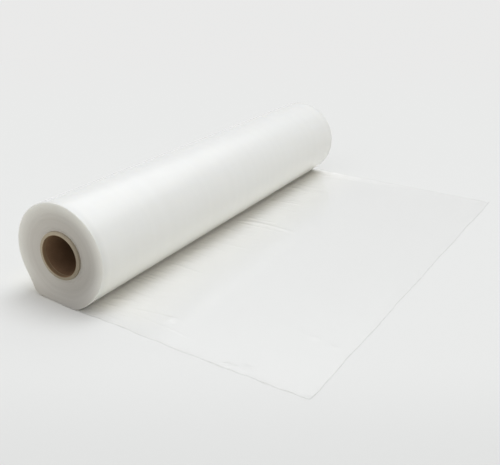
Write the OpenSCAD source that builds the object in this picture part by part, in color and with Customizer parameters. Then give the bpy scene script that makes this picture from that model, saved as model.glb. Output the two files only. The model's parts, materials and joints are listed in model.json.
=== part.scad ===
// A roll of clear polythene sheeting, lying on its side with its free end laid out flat beside it.
// The roll's axis is Y, with the near end at -Y. The free end runs toward +X, and +Z is up.
// The origin is the middle of the bore of the paper core.

/* [Paper core] */
// Bore of the core, for a three inch spindle
core_bore_d = 76.2; // [40:0.1:90]
// Wall of the wound paper tube
core_wall = 6.5; // [4:0.5:14]
// How far the core stands out of the film's width at each end
core_stick_out = 2.5; // [1.5:0.5:12]
// Bevel round the inside and the outside of each mouth
core_mouth_bevel = 1; // [0.2:0.1:1.8]

/* [Wound film] */
// Width of the film, which is also the length of the wound film
film_w = 960; // [300:10:2000]
// Thickness of the film
film_t = 0.25; // [0.1:0.05:1]
// Diameter of the wound film
roll_d = 195; // [150:1:300]
// Thickness of one bundle of turns, as its edge shows on the ends of the roll
bundle_t = 5; // [3:0.5:12]
// How far the outermost turns have slid toward -Y past the innermost
telescope = 4; // [0.5:0.5:6]
// How far the underside has sagged under the roll's own weight
flat_depth = 5.8; // [1:0.1:10]

/* [Free end] */
// Reach of the free sheet from the roll's axis, at its near corner
sheet_near_reach = 497; // [150:1:1500]
// Reach of the free sheet from the roll's axis, at its far corner
sheet_far_reach = 545; // [150:1:1500]
// How far the near corner has drifted toward -Y, because the sheet was pulled out a little askew
sheet_near_drift = 45; // [0:1:80]
// How far the far corner has drifted toward -Y
sheet_far_drift = 41; // [0:1:80]

/* [Hidden] */
$fn = 180;
// Room that a cutting shape has past what it cuts
spare = 1;
roll_r = roll_d / 2;
core_bore_r = core_bore_d / 2;
core_r = core_bore_r + core_wall;
core_len = film_w + 2 * core_stick_out;
floor_z = flat_depth - roll_r;
// The wound film is one spiral, drawn as half turns that grow by half a bundle each
half_turns = ceil(2 * (roll_r - core_r) / bundle_t) + 1;
// The turns slide unevenly: by this share of a step more or less, in a wave of this many degrees a step.
// Under 0.6 no turn slides back.
uneven = 0.4;
uneven_wave = 100;
// Share of a bundle by which the spiral starts under the core's surface, so that it comes out of it at an angle
lead_in = 0.2;

// The roll's shapes are drawn across XZ and pulled along Y, with their middle at y
module along_roll(len, y = 0) {
    translate([0, y + len / 2, 0]) rotate([90, 0, 0]) linear_extrude(len) children();
}

// Place of a half turn along the roll. The whole width of the film moves with it, as real turns do,
// so what stands out at one end of the roll is drawn in at the other.
function slide_y(i) = telescope * (1 / 2 - (i + uneven * sin(i * uneven_wave)) / half_turns);

// The turns press flat above the floor, less and less toward the stiff core
function press(r) = flat_depth * pow(max(r - core_r, 0) / (roll_r - core_r), 2);

// Radius of the inner edge of a half turn about that half's own centre
function edge_r(i) = core_r + (i / 2 - lead_in) * bundle_t;

// Upper halves have their centre on the axis, and lower halves half a bundle to the side of it,
// so that each half runs on into the next
function half_x(i) = i % 2 == 0 ? 0 : bundle_t / 2;

// A round outline of radius r about x, pressed flat below
module pressed_round(r, x = 0) {
    intersection() {
        translate([x, 0]) circle(r);
        translate([x - r - spare, press(r) - r]) square([2 * (r + spare), 2 * r]);
    }
}

// One half turn of the spiral: upper when i is even, lower when it is odd
module half_turn(i) {
    up = i % 2 == 0;
    reach = roll_r + bundle_t;
    along_roll(film_w, slide_y(i)) intersection() {
        difference() {
            pressed_round(edge_r(i + 2), half_x(i));
            pressed_round(edge_r(i), half_x(i));
        }
        pressed_round(roll_r);
        translate([-reach, up ? 0 : -reach]) square([2 * reach, reach]);
    }
}

// The turns, from the core out to the barrel of the roll
module wound_turns() {
    difference() {
        union() {
            for (i = [-1 : half_turns]) half_turn(i);
        }
        along_roll(film_w + 2 * (telescope + spare)) circle(core_r);
    }
}

// The free end leaves the underside of the roll and lies flat on the floor
module free_sheet() {
    y0 = slide_y(half_turns);
    near_y = y0 - film_w / 2;
    far_y = y0 + film_w / 2;
    translate([0, 0, floor_z]) linear_extrude(film_t) polygon([
        [0, near_y],
        [sheet_near_reach, near_y - sheet_near_drift],
        [sheet_far_reach, far_y - sheet_far_drift],
        [0, far_y]
    ]);
}

// All the film is one long web, so the turns and the free end are one solid
module film() {
    color([0.9, 0.92, 0.92]) union() {
        wound_turns();
        free_sheet();
    }
}

// Half of the core's wall, from the middle of the roll to the mouth at +Y, with both its bevels
module core_half() {
    b = core_mouth_bevel;
    rotate([-90, 0, 0]) rotate_extrude() polygon([
        [core_bore_r, 0],
        [core_r, 0],
        [core_r, core_len / 2 - b],
        [core_r - b, core_len / 2],
        [core_bore_r + b, core_len / 2],
        [core_bore_r, core_len / 2 - b]
    ]);
}

// The core that the film is wound on
module paper_core() {
    color([0.68, 0.55, 0.4]) union() {
        core_half();
        mirror([0, 1, 0]) core_half();
    }
}

paper_core();
film();
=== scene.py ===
# %% [markdown]
# # A roll of clear plastic sheeting
#
# A long web of clear polythene is wound on a paper tube, and its free end lies on the floor beside
# it. Wound up, hundreds of clear layers look milky. Laid out as one layer, the same film can hardly
# be seen. So the wound film and the free sheet are two meshes with two finishes, and the paper core
# is a third. Everything is in metres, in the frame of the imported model: the roll's axis is Y, with
# the near end at -Y, the free end runs toward +X, and +Z is up.

# %% Load the frame
import json
import math

import bmesh
import bpy
import numpy as np
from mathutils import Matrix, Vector, noise


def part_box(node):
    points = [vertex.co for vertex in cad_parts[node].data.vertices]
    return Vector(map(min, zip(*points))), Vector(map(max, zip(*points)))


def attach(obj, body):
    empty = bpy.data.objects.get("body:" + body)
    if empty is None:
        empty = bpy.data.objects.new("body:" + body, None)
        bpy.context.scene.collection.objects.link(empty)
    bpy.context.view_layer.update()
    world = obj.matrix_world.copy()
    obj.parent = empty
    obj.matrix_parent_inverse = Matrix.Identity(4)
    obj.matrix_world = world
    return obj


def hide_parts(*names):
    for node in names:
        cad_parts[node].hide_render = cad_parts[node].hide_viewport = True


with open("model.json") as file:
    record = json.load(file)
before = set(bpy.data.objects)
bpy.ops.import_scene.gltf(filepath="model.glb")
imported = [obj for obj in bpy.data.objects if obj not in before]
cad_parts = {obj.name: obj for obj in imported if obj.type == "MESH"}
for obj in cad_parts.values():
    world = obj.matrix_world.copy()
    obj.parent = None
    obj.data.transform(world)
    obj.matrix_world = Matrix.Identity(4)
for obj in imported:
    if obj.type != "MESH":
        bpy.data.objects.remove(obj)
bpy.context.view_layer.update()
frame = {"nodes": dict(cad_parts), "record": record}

print("frame holds", sorted(frame["nodes"]))

# %% [markdown]
# ## Sizes
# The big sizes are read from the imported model, so that this script follows it when a size changes.
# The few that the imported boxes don't show, such as the thickness of a bundle of turns, are written
# here.

# %% Read the sizes
MM = 0.001
core_low, core_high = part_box("paper_core")
film_low, film_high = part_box("film")
mounts = {mount["name"]: mount for mount in frame["record"]["mounts"]}
bore_r = mounts["core_bore"]["dims"]["r_mm"] * MM
core_r = core_high.x
core_len = core_high.y - core_low.y
core_stick_out = 2.5 * MM
film_w = core_len - 2 * core_stick_out
half_w = film_w / 2
roll_r = -film_low.x
film_depth = roll_r - core_r
floor_z = film_low.z
flat_depth = roll_r + floor_z
film_t = 0.25 * MM
bundle_t = 5 * MM
telescope = 4 * MM
print(f"roll {2000 * roll_r:.0f} mm across, film {1000 * film_w:.0f} mm wide, "
      f"bore {2000 * bore_r:.1f} mm")

# %% [markdown]
# ## Helpers for meshes
# Every piece is shaped by bmesh operators and then stays at the origin, with its place in its mesh.
# Soft irregularities, such as a turn that has slid, are added by moving the finished mesh's points.
# NumPy moves all of them at once, which is much faster than a loop in Python.

# %% Make an object from a bmesh
def to_object(bm, name):
    bmesh.ops.recalc_face_normals(bm, faces=bm.faces[:])
    mesh = bpy.data.meshes.new(name)
    bm.to_mesh(mesh)
    bm.free()
    mesh.shade_smooth()
    obj = bpy.data.objects.new(name, mesh)
    bpy.context.scene.collection.objects.link(obj)
    print(f"{name}: {len(mesh.vertices)} points, {len(mesh.polygons)} faces")
    return obj


# %% Read and move all points of a mesh
def points_of(mesh):
    flat = np.empty(3 * len(mesh.vertices), np.float32)
    mesh.vertices.foreach_get("co", flat)
    return flat.reshape(-1, 3).astype(float)


def move_points(mesh, points):
    mesh.vertices.foreach_set("co", points.astype(np.float32).ravel())
    mesh.update()


def keep_value(mesh, name, values):
    """Stores one number for each point, which a finish can read with an Attribute node."""
    mesh.attributes.new(name, "FLOAT", "POINT").data.foreach_set("value", values.astype(np.float32))


# %% Small functions for soft shapes
def smooth_step(low, high, value):
    t = np.clip((value - low) / (high - low), 0, 1)
    return t * t * (3 - 2 * t)


def hump(value, width):
    """A bell curve of height one about zero."""
    return np.exp(-(value / width) ** 2)


def soft_max(a, b, blend):
    """The larger of two values, with a round corner where they cross."""
    near = np.maximum(blend - np.abs(a - b), 0)
    return np.maximum(a, b) + near * near / (4 * blend)


def waves(value, *parts, base=0.0):
    """The base plus sine waves of the value, each given as (height, rate, phase)."""
    total = base
    for height, rate, phase in parts:
        total = total + height * np.sin(rate * value + phase)
    return total


# %% [markdown]
# The wound film and the core are rings. The section of each is a rectangle: four points are joined
# by edges, corners are rounded or bevelled, and the section is spun about the axis. Long edges are
# cut up first, so that there are points to move.

# %% Draw a section and spin it
def ring_section(bm, inner_r, outer_r, length):
    """A rectangle on the XY plane, from one radius to the other, as four joined points."""
    half = length / 2
    places = [(inner_r, -half), (outer_r, -half), (outer_r, half), (inner_r, half)]
    corners = [bm.verts.new((r, y, 0)) for r, y in places]
    for here, there in zip(corners, corners[1:] + corners[:1]):
        bm.edges.new((here, there))
    return corners


def bevel_corners(bm, corners, width, segments):
    bmesh.ops.bevel(bm, geom=corners, offset=width, offset_type="OFFSET", segments=segments,
                    profile=0.5, affect="VERTICES", material=-1)


def edges_over(bm, length):
    return [edge for edge in bm.edges if edge.calc_length() > length]


def cut_edges(bm, edges, step):
    """Cuts straight edges into pieces of about one step each."""
    for edge in edges:
        cuts = round(edge.calc_length() / step) - 1
        if cuts > 0:
            bmesh.ops.subdivide_edges(bm, edges=[edge], cuts=cuts)


def spin_section(bm, steps):
    """Spins a section about the Y axis and joins the last step to the first."""
    weld = 0.01 * MM
    bmesh.ops.spin(bm, geom=bm.verts[:] + bm.edges[:], cent=(0, 0, 0), axis=(0, 1, 0),
                   dvec=(0, 0, 0), angle=2 * math.pi, steps=steps, use_merge=True,
                   use_duplicate=False)
    bmesh.ops.remove_doubles(bm, verts=bm.verts[:], dist=weld)


# %% [markdown]
# ## Helpers for finishes
# A finish is a tree of nodes. One short call adds a node: an input that is given a socket is linked,
# and an input that is given a number or colour has it set on the socket itself. Each of the other
# helpers adds one common node, or a few, and gives back the socket that comes out.

# %% Start and end a finish
def new_finish(name):
    material = bpy.data.materials.new(name)
    material.use_nodes = True
    material.node_tree.nodes.clear()
    return material, material.node_tree


def put_on(material, shader, *objects):
    """Ends a finish with its shader and gives it to objects."""
    add(material.node_tree, "OutputMaterial", {"Surface": shader.outputs[0]})
    for obj in objects:
        obj.data.materials.append(material)
    print("finish", material.name, "on", ", ".join(obj.name for obj in objects))


# %% Add a node
def add(tree, kind, inputs=(), **settings):
    made = tree.nodes.new("ShaderNode" + kind)
    for key, value in settings.items():
        setattr(made, key, value)
    for key, value in dict(inputs).items():
        if isinstance(value, bpy.types.NodeSocket):
            tree.links.new(value, made.inputs[key])
        else:
            made.inputs[key].default_value = value
    return made


# %% Work with numbers
def maths(tree, operation, *values):
    return add(tree, "Math", enumerate(values), operation=operation).outputs[0]


def product(tree, first, *others):
    for other in others:
        first = maths(tree, "MULTIPLY", first, other)
    return first


def fade(tree, value, low, high, start=0.0, end=1.0):
    """A smooth change from start to end as the value goes from low to high."""
    return add(tree, "MapRange", {"Value": value, "From Min": low, "From Max": high,
                                  "To Min": start, "To Max": end},
               interpolation_type="SMOOTHSTEP").outputs["Result"]


# %% Read what a point or a ray is like
def object_place(tree):
    """The place of a point in its object."""
    return add(tree, "TexCoord").outputs["Object"]


def split(tree, vector):
    """The sockets X, Y and Z of a vector."""
    return add(tree, "SeparateXYZ", {"Vector": vector}).outputs


def kept_value(tree, name):
    return add(tree, "Attribute", attribute_name=name).outputs["Fac"]


def in_view(tree):
    """One for rays from the camera and those that mirror or pass through, and zero for the rest."""
    path = add(tree, "LightPath").outputs
    bent = maths(tree, "MAXIMUM", path["Is Glossy Ray"], path["Is Transmission Ray"])
    return maths(tree, "MAXIMUM", path["Is Camera Ray"], bent)


# %% Make noise and colours
def cloudy(tree, place, scale, detail, roughness=0.5):
    """Smooth noise between about 0 and 1."""
    return add(tree, "TexNoise", {"Vector": place, "Scale": scale, "Detail": detail,
                                  "Roughness": roughness}).outputs[0]


def cloudy_rings(tree, radius, rate, detail):
    """Noise that changes with the radius alone."""
    return add(tree, "TexNoise", {"W": product(tree, radius, rate), "Scale": 1.0, "Detail": detail},
               noise_dimensions="1D").outputs[0]


def mix_colour(tree, share, first, second):
    return add(tree, "Mix", {0: share, 6: first, 7: second}, data_type="RGBA").outputs[2]


def scale_colour(tree, colour, factor):
    return add(tree, "VectorMath", {0: colour, "Scale": factor}, operation="SCALE").outputs[0]


def ramp(tree, value, low_colour, high_colour, low=0.3, high=0.7):
    """A change from one (red, green, blue) to another as the value goes from low to high."""
    made = add(tree, "ValToRGB", {"Fac": value})
    stops = ((low, low_colour), (high, high_colour))
    for element, (position, colour) in zip(made.color_ramp.elements, stops):
        element.position = position
        element.color = (*colour, 1)
    return made.outputs["Color"]


# %% [markdown]
# ## The wound film
# The wound film is a thick ring with a hole for the core. Its two outer corners are rounded. The end
# faces need rings fine enough to show the turns, and one step for each degree keeps the outline of
# the barrel smooth.

# %% Spin the wound film
rim_round = 1.6 * MM
ring_step = 0.55 * MM
barrel_step = 15 * MM
core_gap = 0.15 * MM
roll = bmesh.new()
corners = ring_section(roll, core_r + core_gap, roll_r, film_w)
bevel_corners(roll, corners[1:3], rim_round, segments=5)
long_edges = edges_over(roll, 10 * MM)
end_edges = [edge for edge in long_edges
             if abs(edge.verts[0].co.y - edge.verts[1].co.y) < MM]
barrel_edges = [edge for edge in long_edges
                if edge not in end_edges and edge.verts[0].co.x > core_r + MM]
cut_edges(roll, end_edges, ring_step)
cut_edges(roll, barrel_edges, barrel_step)
print("section has", len(roll.verts), "points")
spin_section(roll, steps=360)
film_roll = to_object(roll, "film_roll")

# %% [markdown]
# The turns of a real roll are never quite in line. Each has slid a little along the core, so the end
# faces show a fine spiral of steps, and here the outer turns stand out toward the near end. The
# place of a point along the spiral is worked out from its radius and angle, and one smooth function
# of that place says how far the turn has slid. The whole width of the film moves together, so the
# far end is drawn in. The edge of a bundle also bulges very slightly at its middle.

# %% Find each point's place along the spiral
points = points_of(film_roll.data)
radius = np.hypot(points[:, 0], points[:, 2])
angle_share = np.mod(np.arctan2(points[:, 2], points[:, 0]), 2 * math.pi) / (2 * math.pi)
turns = film_depth / bundle_t
spiral_place = (radius - core_r) / bundle_t - angle_share
turn = np.floor(spiral_place)
across = spiral_place - turn
wound = turn + angle_share
keep_value(film_roll.data, "turn_radius", radius)

# %% Slide the turns along the core
def slide(wound):
    """How far along Y a turn has slid, by how many turns are wound under it."""
    wander = waves(wound, (0.12, 2.1, 0.4), (0.08, 5.3, 1.3))
    return telescope * (0.5 - wound / turns) + wander * MM


flat_share = 0.25
bulge = 0.03 * MM
bulge_depth = 4 * MM
step = smooth_step(flat_share, 1, across)
slid = (1 - step) * slide(wound) + step * slide(wound + 1)
crown = bulge * 4 * across * (1 - across) * np.sign(points[:, 1])
crown *= smooth_step(half_w - bulge_depth, half_w, np.abs(points[:, 1]))
points[:, 1] += slid + crown
print(f"the turns slide from {1000 * slid.min():.1f} to {1000 * slid.max():.1f} mm")

# %% [markdown]
# The film isn't equally thick across its width, so the barrel has faint bands round it. The roll is
# soft and heavy, and it presses itself flat where it lies on the floor: most at the outside, and not
# at all at the stiff core. A soft maximum keeps the edge of the flat round, and a little room is
# left under the roll for the free sheet. The bands and the mean swell are in millimetres.

# %% Add thickness bands and press the roll flat
skin = 6 * MM
mean_swell = -0.085
sheet_room = film_t + 0.05 * MM
flat_round = 2.5 * MM
bands = waves(points[:, 1] / film_w, (0.06, 13, 0.5), (0.02, 31, 2.0), (0.005, 74, 0))
outside = smooth_step(roll_r - skin, roll_r, radius)
swell = 1 + (bands + mean_swell) * MM * outside / radius
points[:, 0] *= swell
points[:, 2] *= swell
press = (flat_depth + sheet_room) * (np.clip(radius - core_r, 0, None) / film_depth) ** 2
points[:, 2] = soft_max(points[:, 2], press - radius, flat_round)
points[:, 2] = np.maximum(points[:, 2], floor_z + sheet_room)

# %% [markdown]
# The foot of the roll spreads sideways, most on the side away from the free sheet, where the turns
# are loose, and more toward the near end. There it also flares a little. The spreads are in
# millimetres.

# %% Spread and flare the foot of the roll
near_end = -half_w
right_spread, left_spread, more_near_end = 2, 13, 17
right_height, left_height = 7 * MM, 21 * MM
slack_reach, flare_reach = 320 * MM, 80 * MM
middle_flare, flare_slope, least_flare, most_flare = 6 * MM, 0.13, -3 * MM, 9 * MM
over_floor = points[:, 2] - floor_z
slack = smooth_step(near_end + slack_reach, near_end + 10 * MM, points[:, 1])
left_foot = (left_spread + more_near_end * slack) * np.exp(-(over_floor / left_height) ** 1.4)
right_foot = right_spread * np.exp(-over_floor / right_height)
spread = np.where(points[:, 0] < 0, left_foot, right_foot) * MM
spread *= smooth_step(0, 30 * MM, np.abs(points[:, 0])) * (radius / roll_r) ** 3
points[:, 0] += np.sign(points[:, 0]) * spread
flare = np.clip(middle_flare + flare_slope * points[:, 0], least_flare, most_flare)
flare *= smooth_step(-10 * MM, floor_z, points[:, 2]) * (radius / roll_r) ** 4
points[:, 1] -= flare * smooth_step(near_end + flare_reach, near_end + 5 * MM, points[:, 1])
move_points(film_roll.data, points)
lowest_over_floor = points[:, 2].min() - floor_z
print(f"lowest point of the wound film is {1000 * lowest_over_floor:.2f} mm over the floor")

# %% [markdown]
# ## The paper core
# The core is wound from strips of brown board. All four corners of its section are bevelled.

# %% Spin the paper core
mouth_bevel = 1 * MM
core = bmesh.new()
corners = ring_section(core, bore_r, core_r, core_len)
bevel_corners(core, corners, mouth_bevel, segments=3)
cut_edges(core, edges_over(core, 5 * MM), 20 * MM)
spin_section(core, steps=144)
core_tube = to_object(core, "core_tube")

# %% [markdown]
# The plies of the board don't end level, so the inner and the outer rim of each mouth stand back by
# their own small depths.

# %% Let the rims of the mouths stand back unevenly
ply_t = 0.6 * MM
ply_depth = 0.14 * MM
points = points_of(core_tube.data)
radius = np.hypot(points[:, 0], points[:, 2])
ply = np.floor((radius - bore_r) / ply_t)
depth = ply_depth * (np.sin(12.9 * ply + 1.0) - 1)
at_mouth = smooth_step(core_len / 2 - 0.5 * MM, core_len / 2 - 0.1 * MM, np.abs(points[:, 1]))
points[:, 1] += np.sign(points[:, 1]) * depth * at_mouth
move_points(core_tube.data, points)

# %% [markdown]
# ## The free sheet
# The free sheet is one layer of film. It starts as a flat grid whose two directions run from 0 to 1:
# u along the pull, from the roll to the cut end, and v along the roll, from its near end to its far
# end. A cloth simulation was thought of, but polythene this stiff hardly drapes on a flat floor.
# What shows is a few creases, crinkles near the roll and edges that lift, and those are placed
# better one by one.

# %% Make the grid and crowd it toward its edges
sheet_cells_u, sheet_cells_v = 112, 430
grid = bmesh.new()
bmesh.ops.create_grid(grid, x_segments=sheet_cells_u, y_segments=sheet_cells_v, size=0.5)
film_sheet = to_object(grid, "film_sheet")
points = points_of(film_sheet.data)


def crowd(share, strength=0.5):
    """Moves shares from 0 to 1 toward both ends, for finer cells at the edges."""
    return share - strength * np.sin(2 * math.pi * share) / (2 * math.pi)


u = crowd(points[:, 0] + 0.5)
v = crowd(points[:, 1] + 0.5)

# %% Lay its corners where they lie on the floor
near_reach = 497 * MM
far_drift = 41 * MM
outer_slide = -telescope / 2
near_root = np.array((0.0, outer_slide - half_w))
far_root = np.array((0.0, outer_slide + half_w))
near_corner = np.array((near_reach, film_low.y))
far_corner = np.array((film_high.x, outer_slide + half_w - far_drift))
near_edge = near_root + u[:, None] * (near_corner - near_root)
far_edge = far_root + u[:, None] * (far_corner - far_root)
flat = near_edge + v[:, None] * (far_edge - near_edge)
reach = np.linalg.norm((near_corner + far_corner) / 2 - (near_root + far_root) / 2)
print(f"the free sheet reaches {1000 * reach:.0f} mm from the roll's axis")

# %% [markdown]
# The edges aren't straight. The near edge bows outward a little and wavers, and stands out more by
# the roll's flared foot. The cut end has small waves. Distances to the three free edges, in metres,
# serve for both the shape and the finish.

# %% Bend the edges a little
near_gap = v * film_w
far_gap = (1 - v) * film_w
end_gap = (1 - u) * reach
x, y = flat[:, 0].copy(), flat[:, 1].copy()
bow = 4.0 * np.sin(math.pi * np.clip(u * 1.1, 0, 1))
near_bow = waves(u, (0.8, 38, 0), (0.4, 91, 1), base=bow)
y -= near_bow * MM * (1 - v) ** 3 * smooth_step(0.05, 0.2, u)
out_by_roll = 6.5 * MM
y -= out_by_roll * (1 - v) ** 8 * (1 - smooth_step(45 * MM, 110 * MM, x))
end_wave = waves(v, (0.7, 29, 0.6), (0.35, 83, 0), (0.2, 171, 2))
off_corners = smooth_step(0, 0.03, v) * smooth_step(0, 0.03, 1 - v)
x += end_wave * MM * smooth_step(0.9, 1, u) * off_corners

# %% [markdown]
# The height of the sheet, in millimetres, is a sum of simple shapes: broad waves, crinkles that fade
# away from the roll, a few creases drawn as ridges from one point to another, small pinches, and the
# edges that lift. A ridge is a bell curve of the distance to a line, faded at both of its ends.

# %% Draw noise and ridges
def fractal(x, y, scale_x, scale_y, seed):
    """Smooth noise between about -1 and 1, stretched differently along X and Y."""
    roughness, rate, octaves = 0.8, 2.0, 3
    places = np.stack([x / scale_x + seed, y / scale_y + seed, np.full_like(x, seed)], 1)
    return np.array([noise.fractal(Vector(place), roughness, rate, octaves) for place in places])


def ridge(start, end, width):
    """A ridge of height one from start to end, given in millimetres."""
    a, b = np.array(start) * MM, np.array(end) * MM
    run = b - a
    length = np.linalg.norm(run)
    t = ((x - a[0]) * run[0] + (y - a[1]) * run[1]) / length ** 2
    off = ((x - a[0]) * -run[1] + (y - a[1]) * run[0]) / length
    ends = smooth_step(-0.15, 0.25, t) * (1 - smooth_step(0.7, 1.15, t))
    return hump(off, width * MM) * ends


# %% Add waves, crinkles, creases and pinches
# Each crease has a start, an end, a width and a height, and each pinch has a place and a width.
creases = [
    ((66, 20), (132, 28), 4.0, 1.9),
    ((118, 29), (205, 18), 3.5, 1.2),
    ((80, 8), (185, 2), 2.6, 0.6),
    ((72, 44), (150, 47), 2.4, 0.7),
    ((100, -440), (215, -428), 3.0, 0.6),
    ((130, -452), (260, -470), 2.6, 0.4),
    ((60, -250), (150, -262), 2.5, 0.6),
    ((60, -120), (170, -112), 2.5, 0.5),
    ((60, 180), (160, 190), 2.5, 0.7),
    ((60, 330), (180, 318), 3.0, 0.8),
    ((340, -507), (400, -500), 1.8, 0.8),
    ((250, -300), (420, -372), 2.0, 0.35),
]
pinches = [(432, -371, 5), (474, -382, 4.5), (195, -437, 8), (351, -505, 5), (381, -497, 5)]
wave_height, crinkle_height, dent_height, pinch_height = 0.35, 1.9, 0.12, 1.6
crinkled_to, crinkle_fade = 75 * MM, 42 * MM
height = wave_height * (1 + fractal(x, y, 180 * MM, 240 * MM, seed=3.1))
crinkle = crinkle_height * np.abs(fractal(x, y, 48 * MM, 12 * MM, seed=7.7))
height += crinkle * np.exp(-np.clip(x - crinkled_to, 0, None) / crinkle_fade)
height += dent_height * np.abs(fractal(x, y, 30 * MM, 34 * MM, seed=12.3))
for start, end, width, tall in creases:
    height += tall * ridge(start, end, width)
for pinch_x, pinch_y, width in pinches:
    height += pinch_height * hump(np.hypot(x - pinch_x * MM, y - pinch_y * MM), width * MM)

# %% Lift the edges of the sheet
lift_from, lift_run = 110 * MM, 430 * MM
far_taper = np.clip(1 - (x - lift_from) / lift_run, 0, 1)
far_lift = 4.5 * far_taper ** 1.4
far_strip = 6 * MM + 28 * MM * far_taper ** 0.6
far_wave = waves(u, (0.16, 60, 1), (0.1, 133, 0), base=1)
height += far_lift * far_wave * np.clip(1 - far_gap / far_strip, 0, 1) ** 1.2
near_lift = waves(u, (0.25, 47, 0), (0.2, 103, 0.7), base=0.5)
height += near_lift * np.exp(-near_gap / (3.5 * MM)) * smooth_step(0.15, 0.4, u)
end_lift = waves(v, (0.2, 57, 0.2), (0.15, 151, 0), base=0.3)
height += end_lift * np.exp(-end_gap / (3 * MM))
height += 1.5 * np.clip(1 - np.hypot(near_gap, end_gap) / (14 * MM), 0, 1) ** 1.5

# %% Move the points of the sheet
clear_of_roll = smooth_step(20 * MM, 70 * MM, x)
points[:, 0], points[:, 1] = x, y
points[:, 2] = floor_z + 0.02 * MM + np.clip(height, 0, None) * MM * clear_of_roll
move_points(film_sheet.data, points)
print(f"the sheet rises up to {height.max():.1f} mm off the floor")

# %% [markdown]
# The finish of the sheet needs to know how near a point is to a free edge, because cut film looks
# denser there, and its lines there are partly painted shade of the lifted edges. Those distances
# are kept as values on the points. Then the sheet gets the film's thickness, with bmesh's solidify,
# which makes a closed shell.

# %% Keep the edge distances and give the sheet its thickness
keep_value(film_sheet.data, "side_gap", np.minimum(near_gap, far_gap))
keep_value(film_sheet.data, "near_gap", near_gap)
keep_value(film_sheet.data, "end_gap", end_gap)
shell = bmesh.new()
shell.from_mesh(film_sheet.data)
bmesh.ops.recalc_face_normals(shell, faces=shell.faces[:])
bmesh.ops.solidify(shell, geom=shell.faces[:], thickness=film_t)
shell.to_mesh(film_sheet.data)
shell.free()
film_sheet.data.shade_smooth()

# %% Keep the thick sheet off the floor
lowest_allowed = floor_z + 0.01 * MM
points = points_of(film_sheet.data)
points[:, 2] += lowest_allowed - min(points[:, 2].min(), lowest_allowed)
move_points(film_sheet.data, points)
print("sheet spans", points.min(0).round(4).tolist(), "to", points.max(0).round(4).tolist())

# %% [markdown]
# ## The finish of the wound film
# Wound polythene is milky: light goes in, scatters between the layers and comes out nearby, which is
# what subsurface scattering does. The barrel is smooth and satin, and faint rings of thicker film
# lie round it. It grows a little darker over the last 18 mm before each end.

# %% Finish the barrel
barrel_finish, tree = new_finish("wound_film")
place = object_place(tree)
axes = split(tree, place)
round_roll = add(tree, "Mapping", {"Vector": place, "Scale": (2, 45, 2)}).outputs["Vector"]
rings = cloudy(tree, round_roll, scale=1.0, detail=2.0)
milky = mix_colour(tree, fade(tree, rings, 0.3, 0.7), (0.816, 0.821, 0.816, 1),
                   (0.829, 0.834, 0.829, 1))
by_end = fade(tree, maths(tree, "ABSOLUTE", axes["Y"]), half_w - 18 * MM, half_w + 1 * MM, 1.0, 0.9)
shader = add(tree, "BsdfPrincipled", {
    "Base Color": scale_colour(tree, milky, by_end), "Roughness": 0.3, "IOR": 1.5,
    "Subsurface Weight": 0.35, "Subsurface Radius": (1.0, 0.95, 0.85),
    "Subsurface Scale": 12 * MM, "Coat Weight": 1.0, "Coat Roughness": 0.17, "Coat IOR": 1.5})
put_on(barrel_finish, shader, film_roll)

# %% [markdown]
# Seen on its ends the film is greyer and a little warm, because light that enters the edges of the
# layers is lost between them. On top of that its colour is painted with light and shade: painted
# paler beside the core and toward the open left side, and painted darker by the floor. Near the rim
# a painted glow stands for light that comes in from the barrel, so the outer turns are painted
# paler and paler, except by the floor, where none comes in. The turn_radius value, kept before the
# roll was pressed flat, follows the turns better than a distance would.

# %% Work out the tones of the turns on an end
end_finish, tree = new_finish("film_edges")
axes = split(tree, object_place(tree))
turn_r = kept_value(tree, "turn_radius")
fine = cloudy_rings(tree, turn_r, 2600.0, detail=2.0)
broad = cloudy_rings(tree, turn_r, 190.0, detail=3.0)
tone = maths(tree, "MULTIPLY_ADD", fine, 0.35, product(tree, broad, 0.65))
turn_colour = ramp(tree, tone, (0.54, 0.518, 0.498), (0.572, 0.55, 0.53))
# Painted light makes the end paler toward the left and beside the core; painted shade darkens it
# toward the floor.
painted_light_left = fade(tree, axes["X"], -100 * MM, 100 * MM, 1.1, 0.89)
painted_light_by_core = fade(tree, turn_r, core_r + 1 * MM, core_r + 5 * MM, 1.2, 1.0)
up_left = maths(tree, "SUBTRACT", axes["Z"], product(tree, axes["X"], 0.8))
painted_shade_by_floor = fade(tree, up_left, -90 * MM, -20 * MM, 0.88, 1.0)
inner = scale_colour(tree, turn_colour, product(tree, painted_light_left, painted_shade_by_floor, painted_light_by_core))

# %% Finish the ends of the wound film
# Painted glow: the outer turns are painted paler toward the rim, for light from the barrel, less so
# by the floor.
rim_glow_colour = (0.87, 0.87, 0.86, 1)
painted_rim_light = fade(tree, axes["Z"], -92 * MM, -25 * MM, 0.05, 0.8)
toward_rim = fade(tree, turn_r, roll_r - 37 * MM, roll_r + 1 * MM)
painted_rim_glow = product(tree, painted_rim_light, maths(tree, "POWER", toward_rim, 1.45))
scatter = fade(tree, turn_r, roll_r - 15 * MM, roll_r, 0.2, 0.5)
bump = add(tree, "Bump", {"Height": tone, "Strength": 0.25, "Distance": 0.3 * MM}).outputs[0]
shader = add(tree, "BsdfPrincipled", {
    "Base Color": mix_colour(tree, painted_rim_glow, inner, rim_glow_colour), "Roughness": 0.5, "IOR": 1.45,
    "Normal": bump, "Subsurface Weight": scatter, "Subsurface Radius": (1.0, 0.97, 0.9),
    "Subsurface Scale": 14 * MM})
put_on(end_finish, shader, film_roll)
end_slot, faces_the_end = 1, 0.6
for face in film_roll.data.polygons:
    if abs(face.normal.y) > faces_the_end:
        face.material_index = end_slot
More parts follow.
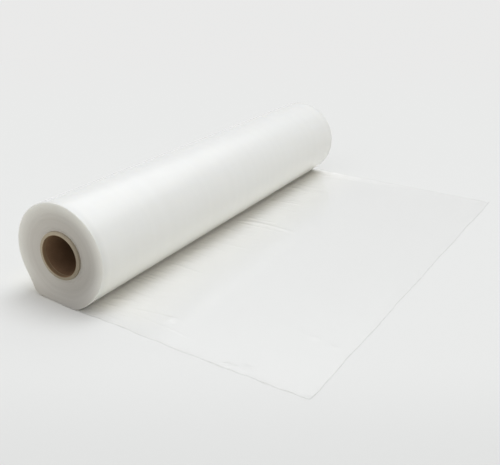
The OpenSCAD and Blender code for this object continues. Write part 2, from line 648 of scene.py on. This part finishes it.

# %% [markdown]
# ## The finish of the core board
# The board is brown and matt, with short fibres, and it is painted lighter toward the upper left
# and darker toward the lower right, as painted light. Inside the bore it is darker and browner,
# partly the inner strip's own colour and partly painted shade of the deep bore. The edges of the
# inner strip make a helix, which is a wave in the sum of the angle round the axis and the distance
# along it. A pale line runs round the bore a little way behind each mouth, strongest low down.

# %% Work out the tones of the board
board_finish, tree = new_finish("core_board")
place = object_place(tree)
axes = split(tree, place)
fibre_place = add(tree, "Mapping", {"Vector": place, "Scale": (900, 320, 900)}).outputs["Vector"]
fibres = cloudy(tree, fibre_place, scale=1.0, detail=5.0, roughness=0.65)
clouds = cloudy(tree, place, scale=45.0, detail=3.0)
tone = maths(tree, "MULTIPLY_ADD", fibres, 0.6, product(tree, clouds, 0.4))
board = ramp(tree, tone, (0.34, 0.29, 0.225), (0.46, 0.405, 0.32))
# Painted light: the board is painted lighter toward the upper left and darker toward the lower
# right.
up_left = maths(tree, "MULTIPLY_ADD", axes["X"], -1.4, axes["Z"])
board = scale_colour(tree, board, fade(tree, up_left, -80 * MM, 80 * MM, 0.75, 1.2))

# %% Mark the seam and the pale line in the bore
strip_pitch = 110 * MM
seam_share = 0.012
pale_line_at = 7.5 * MM
around = maths(tree, "DIVIDE", maths(tree, "ARCTAN2", axes["Z"], axes["X"]), 2 * math.pi)
strips = maths(tree, "DIVIDE", axes["Y"], strip_pitch)
helix = maths(tree, "FRACT", maths(tree, "ADD", around, strips))
squares = maths(tree, "ADD", product(tree, axes["X"], axes["X"]),
                product(tree, axes["Z"], axes["Z"]))
inside = maths(tree, "LESS_THAN", maths(tree, "SQRT", squares), bore_r + 0.9 * MM)
seam = product(tree, inside, maths(tree, "LESS_THAN", helix, seam_share))
from_mouth = maths(tree, "SUBTRACT", core_len / 2, maths(tree, "ABSOLUTE", axes["Y"]))
from_mark = maths(tree, "ABSOLUTE", maths(tree, "SUBTRACT", from_mouth, pale_line_at))
# A pale line round the bore behind each mouth, strongest low down.
pale_line = product(tree, fade(tree, from_mark, 0.3 * MM, 0.8 * MM, 1.0, 0.0),
                    fade(tree, axes["Z"], -34 * MM, -5 * MM, 0.8, 0.15))

# %% Finish the core
mouth_colour, mark_colour = (0.245, 0.165, 0.10, 1), (0.42, 0.33, 0.22, 1)
seam_colour = (0.10, 0.06, 0.035, 1)
# Inside the bore the colour is darker, partly the inner strip's own colour and partly painted shade.
bore_liner_and_shade = ramp(tree, tone, (0.19, 0.115, 0.065), (0.28, 0.175, 0.108))
bore_liner_and_shade = mix_colour(tree, fade(tree, from_mouth, 6.5 * MM, 8 * MM), mouth_colour, bore_liner_and_shade)
bore_liner_and_shade = mix_colour(tree, pale_line, bore_liner_and_shade, mark_colour)
colour = mix_colour(tree, seam, mix_colour(tree, inside, board, bore_liner_and_shade), seam_colour)
bump = add(tree, "Bump", {"Height": tone, "Strength": 0.5, "Distance": 0.15 * MM}).outputs[0]
shader = add(tree, "BsdfPrincipled", {"Base Color": colour, "Roughness": 0.85, "Normal": bump,
                                      "Specular IOR Level": 0.25})
put_on(board_finish, shader, core_tube)

# %% [markdown]
# ## The finish of the free sheet
# One layer of film lets nearly all light straight through, which is a Transparent shader and not
# glass: glass would bend light and put a black shadow on the floor. What shows is its gloss, more of
# it at a slant, a trace of haze, and a darker tan line at its cut edges, in patches, partly the
# denser cut film and partly painted shade of the lifted edges. Layer Weight's Facing grows toward a
# slant on both sides of a face, which suits a shell with two faces.

# %% Finish the sheet
sheet_finish, tree = new_finish("clear_sheet")
place = object_place(tree)
clear_haze, densest_edge_shade = 0.015, 0.09
least_gloss, more_at_slant = 0.006, 0.9
# The edge lines are partly denser cut film and partly painted shade of the lifted edges.
near_line = fade(tree, kept_value(tree, "near_gap"), 1.2 * MM, 3.2 * MM, 1.0, 0.0)
side_line = fade(tree, kept_value(tree, "side_gap"), 0.5 * MM, 1.6 * MM, 1.0, 0.0)
end_line = fade(tree, kept_value(tree, "end_gap"), 0.7 * MM, 1.9 * MM, 0.6, 0.0)
edge = maths(tree, "MAXIMUM", maths(tree, "MAXIMUM", near_line, side_line), end_line)
patches = fade(tree, cloudy(tree, place, scale=90.0, detail=2.0), 0.45, 0.75, 0.0, densest_edge_shade)
haze_and_edge_shade = maths(tree, "MULTIPLY_ADD", edge, patches, clear_haze)
clear = add(tree, "BsdfTransparent", {"Color": (1, 1, 1, 1)})
# The cut edges get a darker tan colour, partly denser film and partly painted shade.
milk_and_edge_shade = add(tree, "BsdfDiffuse", {
    "Color": mix_colour(tree, edge, (0.9, 0.9, 0.88, 1), (0.42, 0.39, 0.28, 1))})
gloss = add(tree, "BsdfGlossy", {"Color": (0.95, 0.95, 0.95, 1), "Roughness": 0.17})
facing = add(tree, "LayerWeight", {"Blend": 0.5}).outputs["Facing"]
slant = maths(tree, "MULTIPLY_ADD", maths(tree, "POWER", facing, 4.0), more_at_slant, least_gloss)
body = add(tree, "MixShader", {"Fac": haze_and_edge_shade, 1: clear.outputs[0], 2: milk_and_edge_shade.outputs[0]})
shader = add(tree, "MixShader", {"Fac": slant, 1: body.outputs[0], 2: gloss.outputs[0]})
put_on(sheet_finish, shader, film_sheet)

# %% [markdown]
# ## Put the pieces in place of the imported parts
# The two film meshes together stand for the film of the imported model, and the tube for its core,
# so those imported parts are hidden. The roll has no moving part, so every piece rides on the one
# body.

# %% Place the pieces on the body
for piece, solid, finish in ((film_roll, "film", "clear_film"), (film_sheet, "film", "clear_film"),
                             (core_tube, "paper_core", "core_board")):
    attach(piece, "root")
    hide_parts(solid)

# %% [markdown]
# ## Floor, light and camera
# The floor is a wide pale plane. It keeps the object's shadow near the roll, and the light that it
# throws back onto the roll is a little warm, as from a cream backdrop. Beside the roll its colour is
# painted paler and warmer, a painted pool of the light that comes down through milky film, and in
# front its colour is painted a little darker, a painted falloff of the light. Far away its colour
# comes from an emission that only the camera and reflections see, so that the background stays
# even.

# %% Lay the floor
floor_half = 30.0
bm = bmesh.new()
bmesh.ops.create_grid(bm, x_segments=1, y_segments=1, size=floor_half)
bmesh.ops.translate(bm, verts=bm.verts[:], vec=(0, 0, floor_z))
floor = to_object(bm, "floor")

# %% Paint light onto the floor beside the roll
floor_finish, tree = new_finish("pale_floor")
place = object_place(tree)
axes = split(tree, place)
seen = in_view(tree)
from_axis = maths(tree, "ABSOLUTE", axes["X"])
# Painted light: the floor beside the roll is painted paler and warmer, a painted pool of light.
beside = fade(tree, maths(tree, "ABSOLUTE", axes["Y"]), half_w - 40 * MM, half_w + 20 * MM, 1.0, 0.0)
lit_near = fade(tree, from_axis, 50 * MM, 115 * MM, 0.75, 0.0)
lit_wide = fade(tree, from_axis, 115 * MM, 220 * MM, 0.25, 0.0)
lit_through = product(tree, beside, maths(tree, "ADD", lit_near, lit_wide))
painted_light_tint = mix_colour(tree, lit_through, (1, 1, 1, 1), (1.23, 1.20, 1.13, 1))

# %% Finish the floor
thrown_back, seen_colour = (0.83, 0.815, 0.74, 1), (0.808, 0.808, 0.803, 1)
toward_back = (-0.4917, 0.8708, 0.0)
middle_of_scene = (0.2, 0.0, 0.0)
pale = mix_colour(tree, seen, thrown_back, seen_colour)
with_painted_light = add(tree, "VectorMath", {0: pale, 1: painted_light_tint}, operation="MULTIPLY").outputs[0]
# Painted falloff: toward the front the floor's colour is painted a little darker.
far_back = add(tree, "VectorMath", {0: place, 1: toward_back},
               operation="DOT_PRODUCT").outputs["Value"]
with_painted_falloff = scale_colour(tree, with_painted_light, fade(tree, far_back, -0.85, -0.6, 0.93, 1.0))
matt = add(tree, "BsdfDiffuse", {"Color": with_painted_falloff})
even = add(tree, "Emission", {"Color": (0.82, 0.82, 0.815, 1), "Strength": 1.0})
away = add(tree, "VectorMath", {0: place, 1: middle_of_scene}, operation="DISTANCE").outputs["Value"]
share = product(tree, fade(tree, away, 1.0, 3.0), seen)
shader = add(tree, "MixShader", {"Fac": share, 1: matt.outputs[0], 2: even.outputs[0]})
put_on(floor_finish, shader, floor)

# %% [markdown]
# The light is that of a white studio: a glow from all round that grows toward the top, and a very
# large soft lamp overhead, a little behind the roll. What the camera sees directly or in a
# reflection is another sky, with a brighter ceiling, because gloss needs something to mirror. Low
# down the glow is a little warm, and the lamp is a little cool.

# %% Light the studio
world = bpy.data.worlds.new("studio")
bpy.context.scene.world = world
world.use_nodes = True
tree = world.node_tree
tree.nodes.clear()
level_glow, more_at_top = 0.44, 0.27
warm_glow, white_glow = (1.0, 0.975, 0.9, 1), (1.0, 1.0, 0.99, 1)
direction = add(tree, "TexCoord").outputs["Generated"]
upward = split(tree, direction)["Z"]
seen = in_view(tree)
ceiling = fade(tree, upward, 0.46, 0.66, 0.78, 1.6)
glow = maths(tree, "MULTIPLY_ADD", upward, more_at_top, level_glow)
strength = maths(tree, "ADD", product(tree, seen, ceiling),
                 product(tree, maths(tree, "SUBTRACT", 1.0, seen), glow))
whiteness = maths(tree, "MAXIMUM", seen, fade(tree, upward, 0.0, 0.9))
tint = mix_colour(tree, whiteness, warm_glow, white_glow)
background = add(tree, "Background", {"Color": tint, "Strength": strength})
add(tree, "OutputWorld", {"Surface": background.outputs[0]})

# %% Hang the soft lamp
lamp_data = bpy.data.lights.new("softbox", "SUN")
lamp_data.energy = 1.35
lamp_data.color = (0.94, 0.97, 1.0)
lamp_data.angle = math.radians(36)
lamp = bpy.data.objects.new("softbox", lamp_data)
bpy.context.scene.collection.objects.link(lamp)
lamp_from = Vector((0.13, 0.22, 1.0))
lamp.rotation_euler = lamp_from.to_track_quat("Z", "Y").to_euler()
print("lamp from", [round(part, 2) for part in lamp_from.normalized()])

# %% [markdown]
# The camera looks down along the roll from in front of its near end. Its place and lens were worked
# out from the two ends of the roll and the corners of the sheet.

# %% Set the camera
camera_data = bpy.data.cameras.new("camera")
camera_data.sensor_fit = "HORIZONTAL"
camera_data.sensor_width = 36.0
camera_data.lens = 48.69
camera = bpy.data.objects.new("camera", camera_data)
bpy.context.scene.collection.objects.link(camera)
camera.location = (0.8071, -1.2443, 0.4772)
camera_turn, camera_tilt = 29.45, 22.19
camera.rotation_euler = (math.radians(90 - camera_tilt), 0, math.radians(camera_turn))
bpy.context.scene.camera = camera
bpy.context.scene.view_settings.view_transform = "Standard"
